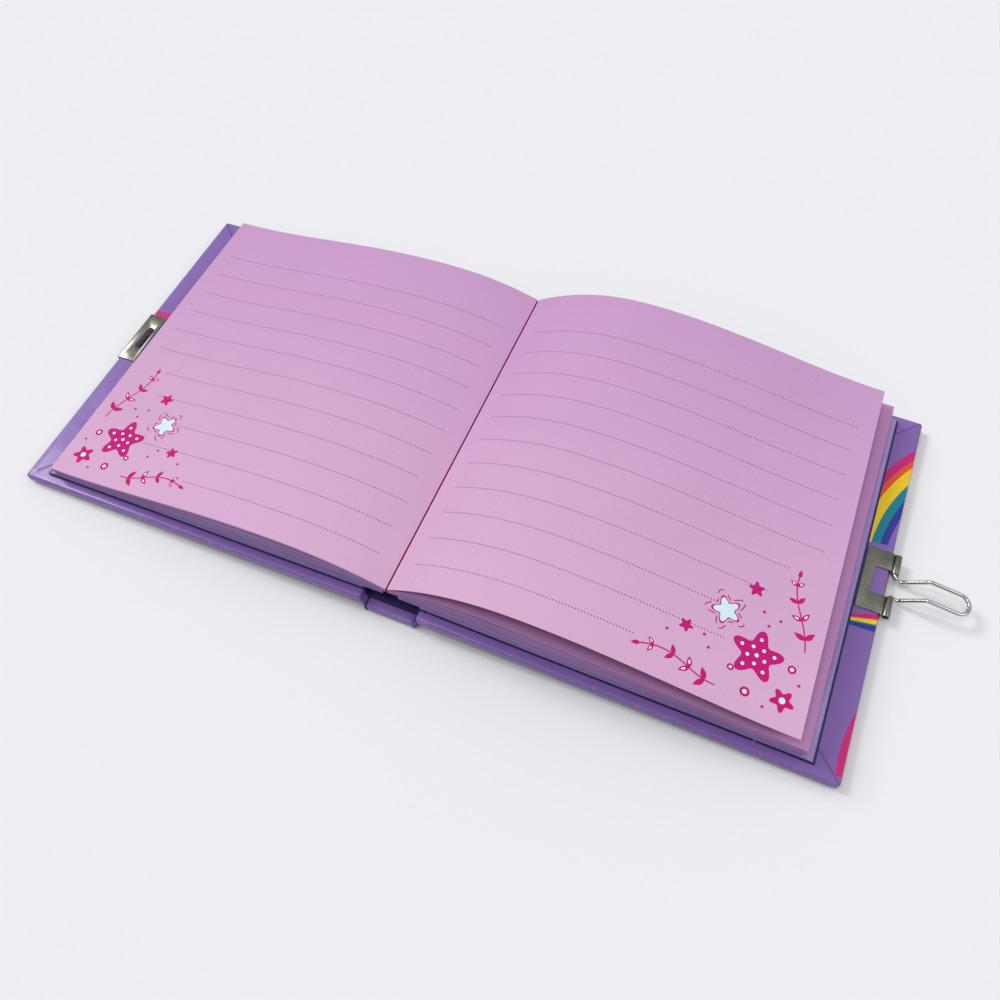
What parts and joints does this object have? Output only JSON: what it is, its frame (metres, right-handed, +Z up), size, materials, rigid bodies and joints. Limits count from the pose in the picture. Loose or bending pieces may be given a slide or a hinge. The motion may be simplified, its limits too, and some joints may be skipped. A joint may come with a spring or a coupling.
{
  "type": "lockable diary",
  "caption": "Square hardback diary lying open, with ruled pink pages, a purple laminated case, steel lock plates on the fore-edges and a wire hasp loop for a small padlock.",
  "frame": {"origin": "middle of the spine strip's flat underside, on the surface the diary lies on", "axes": "+X from the gutter to the back cover's fore-edge, +Y to the head of the pages, +Z up"},
  "size_m": [0.3565, 0.155, 0.0336],
  "materials": {
    "laminated_cover": "gloss",
    "greyboard": "matte",
    "endpaper": "matte",
    "pink_page": "matte",
    "mull": "matte",
    "plated_steel": "satin"
  },
  "bodies": {
    "spine": {"spine_wrap": "laminated_cover", "spine_board": "greyboard", "spine_lining": "endpaper", "front_hinge_strip": "laminated_cover", "back_hinge_strip": "laminated_cover"},
    "front_cover": {"front_board": "greyboard", "front_cover_wrap": "laminated_cover", "front_pastedown": "endpaper", "front_flyleaf": "endpaper", "front_lock_plate": "plated_steel", "front_section_1": "pink_page"},
    "front_pages": {"front_section_2": "pink_page", "front_section_3": "pink_page", "front_mull": "mull", "front_loose_leaves": "pink_page", "front_open_leaf": "pink_page"},
    "back_cover": {"back_board": "greyboard", "back_cover_wrap": "laminated_cover", "back_pastedown": "endpaper", "back_flyleaf": "endpaper", "back_lock_plate": "plated_steel", "back_section_1": "pink_page"},
    "back_pages": {"back_section_2": "pink_page", "back_section_3": "pink_page", "back_mull": "mull", "back_loose_leaves": "pink_page", "back_lifted_leaf": "pink_page"},
    "hasp_loop": {"hasp_loop": "plated_steel"}
  },
  "joints": [
    {"name": "front_cover_fold", "type": "hinge", "parent": "spine", "child": "front_cover", "pos_m": [-0.0104, 0, 0.0055], "axis": [0, 1, 0], "range_deg": [0, 91.79]},
    {"name": "front_pages_fold", "type": "hinge", "parent": "spine", "child": "front_pages", "pos_m": [-0.0066, 0, 0.00942], "axis": [0, 1, 0], "range_deg": [0, 91.79], "deforming": ["front_loose_leaves", "front_open_leaf"]},
    {"name": "back_cover_fold", "type": "hinge", "parent": "spine", "child": "back_cover", "pos_m": [0.0104, 0, 0.0055], "axis": [0, -1, 0], "range_deg": [0, 91.79]},
    {"name": "back_pages_fold", "type": "hinge", "parent": "spine", "child": "back_pages", "pos_m": [0.0066, 0, 0.00942], "axis": [0, -1, 0], "range_deg": [0, 91.79], "deforming": ["back_loose_leaves", "back_lifted_leaf"]},
    {"name": "hasp_loop_swing", "type": "hinge", "parent": "back_cover", "child": "hasp_loop", "pos_m": [0.16548, 0.0008, 0.00406], "axis": [0, -1, 0], "range_deg": [0, 98]}
  ],
  "couplings": [
    {"joint": "front_pages_fold", "follows": "front_cover_fold", "ratio": 1},
    {"joint": "back_pages_fold", "follows": "back_cover_fold", "ratio": 1}
  ]
}
